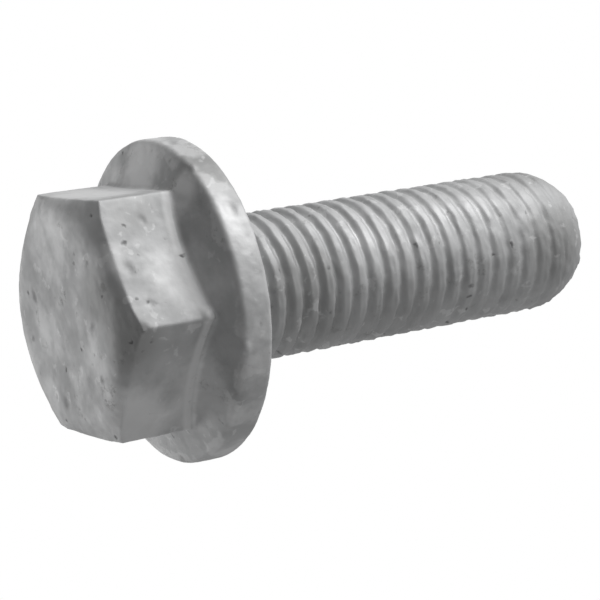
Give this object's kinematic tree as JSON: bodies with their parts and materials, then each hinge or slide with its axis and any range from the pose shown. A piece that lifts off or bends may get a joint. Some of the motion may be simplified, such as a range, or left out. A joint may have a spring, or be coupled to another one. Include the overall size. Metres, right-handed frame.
{
  "type": "flange bolt",
  "caption": "Flange bolt: a chamfered hexagon head in one piece with a coned flange, and a threaded shank with a rounded tip, in dull zinc-coated steel.",
  "frame": {"origin": "on the bolt's axis, in the plane of the flange's bearing face", "axes": "+Z along the shank from the head to the tip, +X towards a corner of the hexagon, +Y towards the middle of a flat"},
  "size_m": [0.0334, 0.0334, 0.0612],
  "materials": {
    "zinc_steel": "dull grey zinc coating, matte, slightly mottled, with small pits and dents"
  },
  "bodies": {
    "root": {"flange_bolt": "zinc_steel"}
  },
  "joints": []
}
